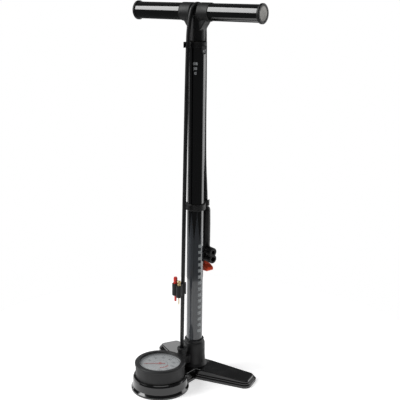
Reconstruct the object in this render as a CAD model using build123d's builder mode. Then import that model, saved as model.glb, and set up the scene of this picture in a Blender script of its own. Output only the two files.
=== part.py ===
from build123d import *
import os
from math import cos, pi, radians, sin, tan

os.makedirs("parts", exist_ok=True)

# Floor pump, millimetres. The origin is on the floor under the barrel's axis, +Z runs up the
# barrel, the gauge stands towards -Y and the two rear feet spread along X.

# Barrel, rod and stroke
BARREL_R = 14.6
BARREL_BORE_R = 13.0
BARREL_BOTTOM = 41.5
BARREL_TOP = 598.0
ROD_R = 6.0
PISTON_TOP = 62.0
ROD_TOP = 636.0
FIT = 0.05                      # gap round a part that is pressed or screwed into another

# Base
BASE_TOP = 18.0
HUB_R = 24.5
FOOT_ANGLE = 19.5               # rear feet, each this far round from +X or -X
FOOT_REACH = 113.35
FOOT_TIP_HALF_WIDTH = 18.85
FOOT_ROOT_HALF_WIDTH = 24.0
FOOT_TIP_TOP = 11.5
BASE_STEPS = ((4.5, 4.6), (2.2, 7.6))   # outward margin and height of the two stepped ledges
BASE_WALL = 3.0

# Gauge
GAUGE_Y = -85.4
HOUSING_R = 43.5
HOUSING_BORE_R = 41.0
HOUSING_BOTTOM = 22.0
HOUSING_TOP = 44.7
DIAL_TOP = 44.0
PORT_Z = 32.0                   # height of the air channel in the arm
GEAR_MODULE = 0.5
PINION_TEETH = 12
SECTOR_TEETH = 60
GEAR_PLAY = 0.1
GEAR_BOTTOM = 33.0

# Handle
HANDLE_Z = 650.0
HANDLE_TURN = 9.0               # degrees from +X about the rod
GRIP_R = 14.4
GRIP_BORE_R = 12.8
SLEEVE_R = 15.4
SLEEVE_HALF = 30.0
HANDLE_HALF = 127.3
STEM_BOTTOM = 602.0
STEM_R = 13.5
CHANNEL_HALF = 7.0
CHANNEL_R = 15.2                # floor of the hose channel, about a centre below the grips' axis
CHANNEL_DROP = 7.0

# Hose
HOSE_R = 3.5
HOSE_ROUTE = [
    (0, -32, 49),
    (0, -24.3, 588),
    (3.1, -20.0, 651),
    (1.3, -8.3, 662.6),
    (-1.3, 8.3, 662.6),
    (-3.1, 20.2, 651),
    (-1.4, 20.9, 560),
    (-0.2, 19.7, 460),
    (0.2, 21.0, 385),
    (0, 25.0, 342),
    (0, 26.6, 302),
]

# Chuck, docked behind the barrel
CHUCK_Y = 26.5
CHUCK_Z = 225.0
CHUCK_TURN = -8.0              # degrees from +X: the way the valve port points
GRIP_SLEEVE_BOTTOM = 243.0
GRIP_SLEEVE_TOP = 311.5
PORT_GAP = 12.6                # between the centres of the two valve ports, one above the other
NOSE_R = 8.2
NOSE_START = 6.0
NOSE_END = 22.5
WIDE_PORT_R = 4.0
NARROW_PORT_R = 3.1
LEVER_HINGE_T = -1.0            # along the port's axis from the hose's axis
LEVER_HINGE_Z = 210.5
EAR_R = 4.2

# Adaptors, held on the hose
HOLDER_BOTTOM = 160.0
HOLDER_TOP = 182.0
HOLDER_AT = (0, -30.3)
CONE_AT = (-7.5, -41.1)
NEEDLE_AT = (5.3, -45.0)

GAUGE_AXIS = Axis((0, GAUGE_Y, 0), (0, 0, 1))
GAUGE_PLANE = Plane.XZ.offset(-GAUGE_Y)
TURN_COS = cos(radians(HANDLE_TURN))
TURN_SIN = sin(radians(HANDLE_TURN))
# Looking along the handle towards its right and its left end, and across it
RIGHT_END = Plane(origin=(0, 0, HANDLE_Z), x_dir=(-TURN_SIN, TURN_COS, 0), z_dir=(TURN_COS, TURN_SIN, 0))
LEFT_END = Plane(origin=(0, 0, HANDLE_Z), x_dir=(TURN_SIN, -TURN_COS, 0), z_dir=(-TURN_COS, -TURN_SIN, 0))
UPRIGHT = Plane(origin=(0, 0, 0), x_dir=(TURN_COS, TURN_SIN, 0), z_dir=(TURN_SIN, -TURN_COS, 0))
PORT_COS = cos(radians(CHUCK_TURN))
PORT_SIN = sin(radians(CHUCK_TURN))
# Looking out of the chuck's port, and at its side
PORT_PLANE = Plane(origin=(0, CHUCK_Y, CHUCK_Z), x_dir=(-PORT_SIN, PORT_COS, 0), z_dir=(PORT_COS, PORT_SIN, 0))
CHUCK_SIDE = Plane(origin=(0, CHUCK_Y, 0), x_dir=(PORT_COS, PORT_SIN, 0), z_dir=(PORT_SIN, -PORT_COS, 0))


def bar(radius, start, end, plane=Plane.XY, at=(0, 0), mode=Mode.ADD):
    """A round bar along the plane's normal, or a hole with Mode.SUBTRACT."""
    with BuildSketch(plane.offset(start), mode=Mode.PRIVATE) as disc:
        with Locations(at):
            Circle(radius)
    extrude(disc.sketch, amount=end - start, mode=mode)


def block(width, depth, start, end, plane=Plane.XY, at=(0, 0), mode=Mode.ADD):
    """A rectangular bar along the plane's normal, or a slot with Mode.SUBTRACT."""
    with BuildSketch(plane.offset(start), mode=Mode.PRIVATE) as outline:
        with Locations(at):
            Rectangle(width, depth)
    extrude(outline.sketch, amount=end - start, mode=mode)


def turn(points, plane=Plane.XZ, axis=Axis.Z, mode=Mode.ADD):
    """A turned shape from a closed profile of (radius, height) points."""
    with BuildSketch(plane, mode=Mode.PRIVATE) as profile:
        with BuildLine():
            Polyline(*points, close=True)
        make_face()
    revolve(profile.sketch, axis=axis, mode=mode)


def plate(points, start, end, plane=Plane.XY, mode=Mode.ADD):
    """A plate with the closed outline given, between two heights along the plane's normal."""
    with BuildSketch(plane.offset(start), mode=Mode.PRIVATE) as outline:
        with BuildLine():
            Polyline(*points, close=True)
        make_face()
    extrude(outline.sketch, amount=end - start, mode=mode)


def polar(radius, degrees_round):
    """The point at a radius and an angle."""
    return (radius * cos(radians(degrees_round)), radius * sin(radians(degrees_round)))


def gear_points(teeth, first_degrees, count):
    """Outline points of a run of straight-flanked teeth, each on its pitch angle."""
    pitch = 360 / teeth
    pitch_r = GEAR_MODULE * teeth / 2
    root_r = pitch_r - 0.6
    tip_r = pitch_r + 0.4
    points = []
    for tooth in range(count):
        centre = first_degrees + tooth * pitch
        points.append(polar(root_r, centre - 0.24 * pitch))
        points.append(polar(tip_r, centre - 0.1 * pitch))
        points.append(polar(tip_r, centre + 0.1 * pitch))
        points.append(polar(root_r, centre + 0.24 * pitch))
    return points


# ---------------------------------------------------------------- base

def base_plan(margin):
    """The outline of hub, rear feet and bridge, grown by a margin."""
    with BuildSketch(mode=Mode.PRIVATE) as outline:
        Circle(HUB_R)
        for angle in (FOOT_ANGLE, 180 - FOOT_ANGLE):
            with BuildSketch(Plane.XY.rotated((0, 0, angle)), mode=Mode.PRIVATE) as foot:
                with BuildLine():
                    Polyline(
                        (0, -FOOT_ROOT_HALF_WIDTH),
                        (FOOT_REACH, -FOOT_TIP_HALF_WIDTH),
                        (FOOT_REACH, FOOT_TIP_HALF_WIDTH),
                        (0, FOOT_ROOT_HALF_WIDTH),
                        close=True,
                    )
                make_face()
                fillet(foot.vertices().group_by(Axis.X)[-1], 8)
            add(foot.sketch)
        with BuildLine(mode=Mode.PRIVATE) as bridge:
            Polyline((-19, -10), (-24, -52), (24, -52), (19, -10), close=True)
        add(make_face(bridge.edges(), mode=Mode.PRIVATE))
        if margin:
            offset(amount=margin)
    return outline.sketch


def foot_roof(drop, thickness):
    """Cut what stands above a foot's sloping top, or above that less a drop."""
    slope = (BASE_TOP - FOOT_TIP_TOP) / (FOOT_REACH - HUB_R)
    outer = FOOT_REACH + 10
    for angle in (FOOT_ANGLE, 180 - FOOT_ANGLE):
        side = Plane.XZ.rotated((0, 0, angle))
        profile = [
            (HUB_R, BASE_TOP - drop),
            (outer, BASE_TOP - drop - slope * (outer - HUB_R)),
            (outer, BASE_TOP + thickness),
            (HUB_R, BASE_TOP + thickness),
        ]
        plate(profile, -45, 45, plane=side, mode=Mode.SUBTRACT)


with BuildPart() as base_hollow:
    extrude(base_plan(-BASE_WALL), amount=BASE_TOP - BASE_WALL)
    foot_roof(BASE_WALL, 10)
    # the feet's tips stay solid, for the pads
    for angle in (FOOT_ANGLE, 180 - FOOT_ANGLE):
        block(30, 60, 0, 20, plane=Plane.XY.rotated((0, 0, angle)), at=(FOOT_REACH, 0), mode=Mode.SUBTRACT)

MANIFOLD_SCREWS = [polar(13, angle) for angle in (30, 150, 270)]
HOUSING_SCREWS = [(x, y + GAUGE_Y) for x, y in (polar(37, angle) for angle in (30, 150, 270))]
PAD_U = FOOT_REACH - 5

with BuildPart() as base:
    extrude(base_plan(0), amount=BASE_TOP)
    foot_roof(0, 10)
    top_edges = base.faces().filter_by(lambda f: f.normal_at().Z > 0.9).edges()
    fillet(top_edges.filter_by(lambda e: e.center().Z > FOOT_TIP_TOP - 1 and not e.is_interior), 2)
    for margin, height in BASE_STEPS:
        extrude(base_plan(margin), amount=height)
    # the round foot under the gauge, with the recess that its housing stands in
    turn(
        [
            (0, 0), (51.3, 0), (51.3, 3.2), (49.8, 5.2), (48.5, 7.2), (48.2, 20.5),
            (47.2, 23.6), (45.6, 24.6), (0, 24.6),
        ],
        plane=GAUGE_PLANE,
        axis=GAUGE_AXIS,
    )
    bar(HOUSING_R + 0.1, HOUSING_BOTTOM, 30, at=(0, GAUGE_Y), mode=Mode.SUBTRACT)
    bar(45.2, 0, HOUSING_BOTTOM - BASE_WALL, at=(0, GAUGE_Y), mode=Mode.SUBTRACT)
    add(base_hollow.part, mode=Mode.SUBTRACT)
    # stiffening ribs under the feet
    for angle in (FOOT_ANGLE, 180 - FOOT_ANGLE):
        rib = [(HUB_R + 2, 2), (FOOT_REACH - 14, 2), (FOOT_REACH - 14, 10), (HUB_R + 2, 15.5)]
        plate(rib, -1, 1, plane=Plane.XZ.rotated((0, 0, angle)))
    # groove and pockets for the rubber pads
    with BuildSketch(Plane.XY) as groove:
        with Locations((0, GAUGE_Y)):
            Circle(50.5)
            Circle(46.3, mode=Mode.SUBTRACT)
        for angle in (FOOT_ANGLE, 180 - FOOT_ANGLE):
            with Locations(Location((*polar(PAD_U, angle), 0), (0, 0, angle))):
                SlotOverall(26, 9, rotation=90)
    extrude(amount=2.5, mode=Mode.SUBTRACT)
    for x, y in MANIFOLD_SCREWS:
        bar(2.1, 0, BASE_TOP, at=(x, y), mode=Mode.SUBTRACT)
    for x, y in HOUSING_SCREWS:
        bar(1.6, 0, HOUSING_BOTTOM, at=(x, y), mode=Mode.SUBTRACT)
base.part.label = "base"
export_step(base.part, "parts/base.step")

with BuildPart() as foot_pads:
    with BuildSketch(Plane.XY) as pads:
        for angle in (FOOT_ANGLE, 180 - FOOT_ANGLE):
            with Locations(Location((*polar(PAD_U, angle), 0), (0, 0, angle))):
                SlotOverall(25.8, 8.8, rotation=90)
    extrude(amount=2.5)
foot_pads.part.label = "foot_pads"
export_step(foot_pads.part, "parts/foot_pads.step")

with BuildPart() as ring_pad:
    turn([(46.4, 0), (50.4, 0), (50.4, 2.5), (46.4, 2.5)], plane=GAUGE_PLANE, axis=GAUGE_AXIS)
ring_pad.part.label = "ring_pad"
export_step(ring_pad.part, "parts/ring_pad.step")

# ---------------------------------------------------------------- manifold and check valve

SEAT_TOP = BARREL_BOTTOM - 1.5
SEAT_BOTTOM = SEAT_TOP - 3.5
CHAMBER_BOTTOM = 27.0

with BuildPart() as manifold:
    turn([
        (0, 18), (24, 18), (22.2, 20), (20.9, 23), (20.2, 28), (19.7, 40), (19.5, 58),
        (18.9, 61.5), (17.6, 63), (17.4, 68), (0, 68),
    ])
    with BuildSketch(Plane.XZ) as arm:
        with Locations((0, 33.5)):
            Rectangle(15, 17)
        fillet(arm.vertices().group_by(Axis.Z)[-1], 2.5)
    extrude(amount=52)
    bar(8.6, 25, 42, at=(0, -32))
    bar(HOUSING_R + 0.1, 20, 50, at=(0, GAUGE_Y), mode=Mode.SUBTRACT)
    bar(BARREL_R + FIT, SEAT_TOP, 70, mode=Mode.SUBTRACT)
    bar(9.0, SEAT_BOTTOM, SEAT_TOP, mode=Mode.SUBTRACT)
    bar(6.5, CHAMBER_BOTTOM, SEAT_BOTTOM, mode=Mode.SUBTRACT)
    # air channel to the gauge, with a branch up to the hose
    bar(2.0, 0, 50, plane=Plane.XZ, at=(0, PORT_Z), mode=Mode.SUBTRACT)
    bar(4.0 + FIT, 36, 50, plane=Plane.XZ, at=(0, PORT_Z), mode=Mode.SUBTRACT)
    bar(2.0, PORT_Z, 42, at=(0, -32), mode=Mode.SUBTRACT)
    for x, y in MANIFOLD_SCREWS:
        bar(2.05, 18, 26, at=(x, y), mode=Mode.SUBTRACT)
manifold.part.label = "manifold"
export_step(manifold.part, "parts/manifold.step")

with BuildPart() as manifold_screws:
    for x, y in MANIFOLD_SCREWS:
        bar(2.0, 15, 25.5, at=(x, y))
        bar(3.8, 12.5, 15, at=(x, y))
        bar(1.5, 12.5, 14, at=(x, y), mode=Mode.SUBTRACT)
manifold_screws.part.label = "manifold_screws"
export_step(manifold_screws.part, "parts/manifold_screws.step")

with BuildPart() as barrel_gasket:
    turn([(9.5, SEAT_TOP), (BARREL_R, SEAT_TOP), (BARREL_R, BARREL_BOTTOM), (9.5, BARREL_BOTTOM)])
barrel_gasket.part.label = "barrel_gasket"
export_step(barrel_gasket.part, "parts/barrel_gasket.step")

with BuildPart() as valve_seat:
    bar(8.95, SEAT_BOTTOM, SEAT_TOP)
    bar(3.0, SEAT_BOTTOM, SEAT_TOP, mode=Mode.SUBTRACT)
valve_seat.part.label = "valve_seat"
export_step(valve_seat.part, "parts/valve_seat.step")

with BuildPart() as valve_disc:
    bar(5.0, SEAT_BOTTOM - 1.7, SEAT_BOTTOM)
    bar(1.4, SEAT_BOTTOM - 6.5, SEAT_BOTTOM - 1.7)
valve_disc.part.label = "valve_disc"
export_step(valve_disc.part, "parts/valve_disc.step")

with BuildPart() as valve_spring:
    with BuildLine() as coil:
        Helix(pitch=1.9, height=6.9, radius=3.4, center=(0, 0, CHAMBER_BOTTOM + 0.45))
    with BuildSketch(Plane(origin=coil.line @ 0, z_dir=coil.line % 0)):
        Circle(0.4)
    sweep(is_frenet=True)
valve_spring.part.label = "valve_spring"
export_step(valve_spring.part, "parts/valve_spring.step")

# ---------------------------------------------------------------- barrel and its rings

SCREW_Z = 587.0

with BuildPart() as barrel:
    bar(BARREL_R, BARREL_BOTTOM, BARREL_TOP)
    bar(BARREL_BORE_R, BARREL_BOTTOM, BARREL_TOP, mode=Mode.SUBTRACT)
    bar(1.7, -30, 30, plane=Plane.YZ, at=(0, SCREW_Z), mode=Mode.SUBTRACT)
barrel.part.label = "barrel"
export_step(barrel.part, "parts/barrel.step")


def hose_clip(centre, bottom, top, away):
    """A C-shaped clip round the hose, open on the side away from the barrel."""
    x, y = centre
    bar(6.4, bottom, top, at=centre)
    block(7, 9, bottom, top, at=(x, y - away * 6))
    bar(4.2, bottom, top, at=centre, mode=Mode.SUBTRACT)
    block(5.6, 8, bottom, top, at=(x, y + away * 6), mode=Mode.SUBTRACT)
    bar(BARREL_R + FIT, bottom - 5, top, mode=Mode.SUBTRACT)


with BuildPart() as mid_ring:
    bar(18.0, 312.3, 323.2)
    chamfer(mid_ring.edges().filter_by(GeomType.CIRCLE), 0.8)
    hose_clip((0, 26.0), 314.5, 324.5, 1)
mid_ring.part.label = "mid_ring"
export_step(mid_ring.part, "parts/mid_ring.step")

with BuildPart() as top_collar:
    bar(16.4, 592.3, 601.7)
    chamfer(top_collar.edges().group_by(Axis.Z)[-1], 0.6)
    # ears that the two screws sit in
    bar(5.5, -17.6, 17.6, plane=Plane.YZ, at=(0, SCREW_Z))
    block(11, 8, -17.6, 17.6, plane=Plane.YZ, at=(0, SCREW_Z + 4))
    hose_clip((0.5, -23.8), 592.3, 601.7, -1)
    bar(BARREL_R + FIT, 575, 600, mode=Mode.SUBTRACT)
    bar(9.5, 600, 605, mode=Mode.SUBTRACT)
    bar(1.7, -30, 30, plane=Plane.YZ, at=(0, SCREW_Z), mode=Mode.SUBTRACT)
    for side in (-1, 1):
        bar(3.1, 16.2 * side, 18 * side, plane=Plane.YZ, at=(0, SCREW_Z), mode=Mode.SUBTRACT)
top_collar.part.label = "top_collar"
export_step(top_collar.part, "parts/top_collar.step")

with BuildPart() as collar_screws:
    for side in (-1, 1):
        bar(1.6, 8.6 * side, 16.2 * side, plane=Plane.YZ, at=(0, SCREW_Z))
        bar(3.0, 16.2 * side, 17.5 * side, plane=Plane.YZ, at=(0, SCREW_Z))
        block(4.2, 0.9, 16.9 * side, 17.5 * side, plane=Plane.YZ, at=(0, SCREW_Z), mode=Mode.SUBTRACT)
        block(0.9, 4.2, 16.9 * side, 17.5 * side, plane=Plane.YZ, at=(0, SCREW_Z), mode=Mode.SUBTRACT)
collar_screws.part.label = "collar_screws"
export_step(collar_screws.part, "parts/collar_screws.step")

with BuildPart() as rod_guide:
    bar(12.9, 576, BARREL_TOP)
    bar(14.5, BARREL_TOP, 600)
    bar(ROD_R + 0.06, 576, 600, mode=Mode.SUBTRACT)
    for side in (-1, 1):
        bar(1.65, 8.4 * side, 14 * side, plane=Plane.YZ, at=(0, SCREW_Z), mode=Mode.SUBTRACT)
rod_guide.part.label = "rod_guide"
export_step(rod_guide.part, "parts/rod_guide.step")

with BuildPart() as rod_wiper:
    bar(9.4, 600, 601.6)
    bar(ROD_R + 0.08, 600, 601.6, mode=Mode.SUBTRACT)
rod_wiper.part.label = "rod_wiper"
export_step(rod_wiper.part, "parts/rod_wiper.step")

# ---------------------------------------------------------------- handle

with BuildPart() as handle_tee:
    bar(SLEEVE_R, -SLEEVE_HALF, SLEEVE_HALF, plane=RIGHT_END)
    chamfer(handle_tee.edges().filter_by(GeomType.CIRCLE), 0.8)
    bar(STEM_R, STEM_BOTTOM, HANDLE_Z)
    # webs that brace the sleeve against the stem
    web = [(-25, 640), (-12, 621), (12, 621), (25, 640), (20, 655), (-20, 655)]
    plate(web, -9.5, 9.5, plane=UPRIGHT)
    with BuildSketch(RIGHT_END) as channel:
        with Locations((0, 9)):
            Rectangle(60, 32)
        with Locations((0, -CHANNEL_DROP)):
            Circle(CHANNEL_R, mode=Mode.SUBTRACT)
    extrude(amount=CHANNEL_HALF, both=True, mode=Mode.SUBTRACT)
    for end in (LEFT_END, RIGHT_END):
        bar(GRIP_R + FIT, 16, SLEEVE_HALF + 1, plane=end, mode=Mode.SUBTRACT)
    bar(ROD_R + FIT, STEM_BOTTOM - 1, ROD_TOP + FIT, mode=Mode.SUBTRACT)
    bar(2.7, ROD_TOP, 653, mode=Mode.SUBTRACT)
    bar(4.5, 653, 670, mode=Mode.SUBTRACT)
handle_tee.part.label = "handle_tee"
export_step(handle_tee.part, "parts/handle_tee.step")

with BuildPart() as handle_bolt:
    bar(2.5, 616, 653)
    bar(4.2, 653, 656.8)
    bar(2.0, 654.8, 656.8, mode=Mode.SUBTRACT)
handle_bolt.part.label = "handle_bolt"
export_step(handle_bolt.part, "parts/handle_bolt.step")

CAP_FLANGE = HANDLE_HALF - 4.8

for side, end in (("left", LEFT_END), ("right", RIGHT_END)):
    with BuildPart() as grip:
        bar(GRIP_R, 16, CAP_FLANGE, plane=end)
        bar(GRIP_BORE_R, 16, CAP_FLANGE, plane=end, mode=Mode.SUBTRACT)
    grip.part.label = f"grip_{side}"
    export_step(grip.part, f"parts/grip_{side}.step")

    with BuildPart() as end_cap:
        bar(16.2, CAP_FLANGE, HANDLE_HALF, plane=end)
        chamfer(end_cap.edges().filter_by(GeomType.CIRCLE), 1.1)
        bar(GRIP_BORE_R - FIT, CAP_FLANGE - 14, CAP_FLANGE, plane=end)
        bar(11.0, CAP_FLANGE - 14, CAP_FLANGE - 2, plane=end, mode=Mode.SUBTRACT)
        bar(11.7, HANDLE_HALF - 1.2, HANDLE_HALF, plane=end, mode=Mode.SUBTRACT)
    end_cap.part.label = f"end_cap_{side}"
    export_step(end_cap.part, f"parts/end_cap_{side}.step")

    with BuildPart() as cap_disc:
        bar(11.6, HANDLE_HALF - 1.2, HANDLE_HALF - 0.4, plane=end)
    cap_disc.part.label = f"cap_disc_{side}"
    export_step(cap_disc.part, f"parts/cap_disc_{side}.step")

with BuildPart() as rod:
    bar(ROD_R, PISTON_TOP, ROD_TOP)
    bar(2.55, 612, ROD_TOP, mode=Mode.SUBTRACT)
    bar(2.55, PISTON_TOP, 82, mode=Mode.SUBTRACT)
rod.part.label = "rod"
export_step(rod.part, "parts/rod.step")

# ---------------------------------------------------------------- piston

with BuildPart() as piston_head:
    turn([
        (2.6, 46), (12.5, 46), (12.5, 49.5), (10.2, 49.5), (10.2, 53.5), (12.5, 53.5), (12.5, 58),
        (9.5, PISTON_TOP), (2.6, PISTON_TOP),
    ])
piston_head.part.label = "piston_head"
export_step(piston_head.part, "parts/piston_head.step")

with BuildPart() as piston_seal:
    turn([
        (10.3, 49.6), (12.0, 49.6), (12.92, 50.6), (12.92, 52.4), (12.0, 53.4), (10.3, 53.4),
    ])
piston_seal.part.label = "piston_seal"
export_step(piston_seal.part, "parts/piston_seal.step")

with BuildPart() as piston_bolt:
    bar(2.5, 46, 78)
    bar(5.0, 43.6, 46)
    bar(2.0, 43.6, 45, mode=Mode.SUBTRACT)
piston_bolt.part.label = "piston_bolt"
export_step(piston_bolt.part, "parts/piston_bolt.step")

with BuildPart() as stop_sleeve:
    bar(9.0, PISTON_TOP, 86)
    bar(ROD_R + FIT, PISTON_TOP, 86, mode=Mode.SUBTRACT)
stop_sleeve.part.label = "stop_sleeve"
export_step(stop_sleeve.part, "parts/stop_sleeve.step")

with BuildPart() as piston_bumper:
    bar(10.0, 86, 95.5)
    bar(ROD_R + FIT, 86, 95.5, mode=Mode.SUBTRACT)
piston_bumper.part.label = "piston_bumper"
export_step(piston_bumper.part, "parts/piston_bumper.step")

# ---------------------------------------------------------------- gauge

with BuildPart() as gauge_inlet:
    bar(4.0, 36, 47, plane=Plane.XZ, at=(0, PORT_Z))
    bar(1.5, 36, 47, plane=Plane.XZ, at=(0, PORT_Z), mode=Mode.SUBTRACT)
gauge_inlet.part.label = "gauge_inlet"
export_step(gauge_inlet.part, "parts/gauge_inlet.step")

with BuildPart() as gauge_housing:
    turn(
        [
            (0, HOUSING_BOTTOM), (HOUSING_R, HOUSING_BOTTOM), (HOUSING_R, HOUSING_TOP),
            (HOUSING_BORE_R, HOUSING_TOP), (HOUSING_BORE_R, 24.5), (0, 24.5),
        ],
        plane=GAUGE_PLANE,
        axis=GAUGE_AXIS,
    )
    for x, y in HOUSING_SCREWS:
        bar(2.9, 24.5, 31, at=(x, y))
        bar(1.55, HOUSING_BOTTOM, 29, at=(x, y), mode=Mode.SUBTRACT)
    bar(4.0 + FIT, 38, 47, plane=Plane.XZ, at=(0, PORT_Z), mode=Mode.SUBTRACT)
gauge_housing.part.label = "gauge_housing"
export_step(gauge_housing.part, "parts/gauge_housing.step")

with BuildPart() as housing_screws:
    for x, y in HOUSING_SCREWS:
        bar(1.5, 19, 28.5, at=(x, y))
        bar(2.9, 17, 19, at=(x, y))
        bar(1.2, 17, 18.2, at=(x, y), mode=Mode.SUBTRACT)
housing_screws.part.label = "housing_screws"
export_step(housing_screws.part, "parts/housing_screws.step")

with BuildPart() as gauge_bezel:
    turn(
        [
            (44.5, 44.7), (44.7, 46.2), (44.5, 48.3), (43.4, 49.4), (37.2, 49.4), (36.0, 48.4),
            (36.0, 47.5), (38.6, 47.5), (38.6, 41.0), (40.9, 41.0), (40.9, 44.7),
        ],
        plane=GAUGE_PLANE,
        axis=GAUGE_AXIS,
    )
gauge_bezel.part.label = "gauge_bezel"
export_step(gauge_bezel.part, "parts/gauge_bezel.step")

with BuildPart() as gauge_lens:
    bar(38.5, 45.9, 47.5, at=(0, GAUGE_Y))
gauge_lens.part.label = "gauge_lens"
export_step(gauge_lens.part, "parts/gauge_lens.step")

with BuildPart() as gauge_dial:
    bar(38.3, DIAL_TOP - 1, DIAL_TOP, at=(0, GAUGE_Y))
    bar(1.7, DIAL_TOP - 1, DIAL_TOP, at=(0, GAUGE_Y), mode=Mode.SUBTRACT)
gauge_dial.part.label = "gauge_dial"
export_step(gauge_dial.part, "parts/gauge_dial.step")

with BuildPart() as bourdon_block:
    block(12, 11, 24.5, 38, at=(0, -52.5))
    bar(1.5, 40, 55, plane=Plane.XZ, at=(0, PORT_Z), mode=Mode.SUBTRACT)
bourdon_block.part.label = "bourdon_block"
export_step(bourdon_block.part, "parts/bourdon_block.step")

with BuildPart() as bourdon_tube:
    with BuildSketch(Plane.XY.offset(28)) as tube_arc:
        with BuildLine():
            inner = CenterArc((0, GAUGE_Y), 28.9, 77.6, -262)
            outer = CenterArc((0, GAUGE_Y), 31.1, 77.6, -262)
            Line(inner @ 0, outer @ 0)
            Line(inner @ 1, outer @ 1)
        make_face()
    extrude(amount=8)
bourdon_tube.part.label = "bourdon_tube"
export_step(bourdon_tube.part, "parts/bourdon_tube.step")

CENTRE_DISTANCE = GEAR_MODULE * (PINION_TEETH + SECTOR_TEETH) / 2 + GEAR_PLAY
SECTOR_AT = (-CENTRE_DISTANCE, GAUGE_Y)
PILLARS = [(9, GAUGE_Y + 7), (9, GAUGE_Y - 7), (-CENTRE_DISTANCE - 3.1, GAUGE_Y + 8.5)]

with BuildPart() as movement_frame:
    for height in (27.5, 38.0):
        block(36, 22, height, height + 1, at=(-6, GAUGE_Y + 1))
    for spot in PILLARS:
        bar(1.5, 24.5, DIAL_TOP - 1, at=spot)
    bar(1.05, 27, 40, at=(0, GAUGE_Y), mode=Mode.SUBTRACT)
    bar(0.85, 27, 40, at=SECTOR_AT, mode=Mode.SUBTRACT)
movement_frame.part.label = "movement_frame"
export_step(movement_frame.part, "parts/movement_frame.step")

with BuildPart() as needle_spindle:
    bar(1.0, 27.2, 45.2, at=(0, GAUGE_Y))
    plate(
        gear_points(PINION_TEETH, 180, PINION_TEETH),
        GEAR_BOTTOM,
        GEAR_BOTTOM + 1.6,
        plane=Plane.XY.move(Location((0, GAUGE_Y, 0))),
    )
needle_spindle.part.label = "needle_spindle"
export_step(needle_spindle.part, "parts/needle_spindle.step")

with BuildPart() as gauge_needle:
    needle_plane = Plane(origin=(0, GAUGE_Y, 0), x_dir=polar(1, 225) + (0,), z_dir=(0, 0, 1))
    plate([(-9, -1.1), (27, -0.35), (29, 0), (27, 0.35), (-9, 1.1)], 44.4, 45.0, plane=needle_plane)
    bar(3.0, 44.3, 45.5, at=(0, GAUGE_Y))
    bar(1.02, 44, 46, at=(0, GAUGE_Y), mode=Mode.SUBTRACT)
gauge_needle.part.label = "gauge_needle"
export_step(gauge_needle.part, "parts/gauge_needle.step")

with BuildPart() as sector_gear:
    sector_plane = Plane.XY.move(Location((*SECTOR_AT, 0)))
    pitch = 360 / SECTOR_TEETH
    teeth = gear_points(SECTOR_TEETH, -10.5 * pitch, 13)
    plate([(-2.5, 0)] + teeth, GEAR_BOTTOM + 0.2, GEAR_BOTTOM + 1.4, plane=sector_plane)
    bar(2.6, GEAR_BOTTOM + 0.2, GEAR_BOTTOM + 1.4, at=SECTOR_AT)
    bar(0.8, 27.7, 38.8, at=SECTOR_AT)
sector_gear.part.label = "sector_gear"
export_step(sector_gear.part, "parts/sector_gear.step")

# ---------------------------------------------------------------- hose and what is on it

with BuildPart() as hose_fitting:
    turn(
        [
            (8.3, 42), (8.3, 47), (7.6, 48.5), (7.3, 52.5), (8.4, 53.6), (8.4, 57.4), (7.4, 58.6),
            (4.0, 58.6), (4.0, 47), (2.0, 47), (2.0, 42),
        ],
        plane=Plane.XZ.offset(32),
        axis=Axis((0, -32, 0), (0, 0, 1)),
    )
hose_fitting.part.label = "hose_fitting"
export_step(hose_fitting.part, "parts/hose_fitting.step")

route = [Vector(*point) for point in HOSE_ROUTE]
radii = []
for before, corner, after in zip(route, route[1:], route[2:]):
    turn_angle = radians((corner - before).get_angle(after - corner))
    shorter = min((corner - before).length, (after - corner).length)
    radii.append(0.45 * shorter / tan(turn_angle / 2))
print("hose bend radii, mm:", [round(radius, 1) for radius in radii])

with BuildPart() as hose:
    with BuildLine() as hose_path:
        FilletPolyline(*route, radius=radii)
    with BuildSketch(Plane(origin=route[0], z_dir=route[1] - route[0])):
        Circle(HOSE_R)
    sweep()
hose.part.label = "hose"
export_step(hose.part, "parts/hose.step")
hose_length = sum(edge.length for edge in hose_path.edges())
print("hose length, mm:", round(hose_length, 1))
print("hose volume over section x length:", hose.part.volume / (pi * HOSE_R**2 * hose_length))

with BuildPart() as adapter_holder:
    with BuildSketch(Plane.XY.offset(HOLDER_BOTTOM)) as holder_outline:
        with Locations(HOLDER_AT):
            Circle(6.2)
        with Locations(CONE_AT):
            Circle(6.0)
        with Locations(NEEDLE_AT):
            Circle(5.0)
        with BuildLine():
            Polyline((-4, -30), (4, -30), (6, -44), (-7, -42), close=True)
        make_face()
    extrude(amount=HOLDER_TOP - HOLDER_BOTTOM)
    bar(4.1, HOLDER_BOTTOM, HOLDER_TOP, at=HOLDER_AT, mode=Mode.SUBTRACT)
    block(4.6, 8, HOLDER_BOTTOM, HOLDER_TOP, at=(5.5, -27), mode=Mode.SUBTRACT)
    bar(3.75, HOLDER_BOTTOM, HOLDER_TOP, at=CONE_AT, mode=Mode.SUBTRACT)
    bar(1.3, HOLDER_BOTTOM, HOLDER_TOP, at=NEEDLE_AT, mode=Mode.SUBTRACT)
    bar(3.6, HOLDER_TOP - 4, HOLDER_TOP, at=NEEDLE_AT, mode=Mode.SUBTRACT)
adapter_holder.part.label = "adapter_holder"
export_step(adapter_holder.part, "parts/adapter_holder.step")

with BuildPart() as cone_adapter:
    turn(
        [
            (1.0, 148.5), (1.8, 148.5), (2.0, 149.5), (2.2, 160), (3.4, 172), (3.6, 176), (3.6, 191),
            (3.2, 193.5), (1.0, 193.5),
        ],
        plane=Plane.XZ.offset(-CONE_AT[1]).move(Location((CONE_AT[0], 0, 0))),
        axis=Axis((*CONE_AT, 0), (0, 0, 1)),
    )
cone_adapter.part.label = "cone_adapter"
export_step(cone_adapter.part, "parts/cone_adapter.step")

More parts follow.
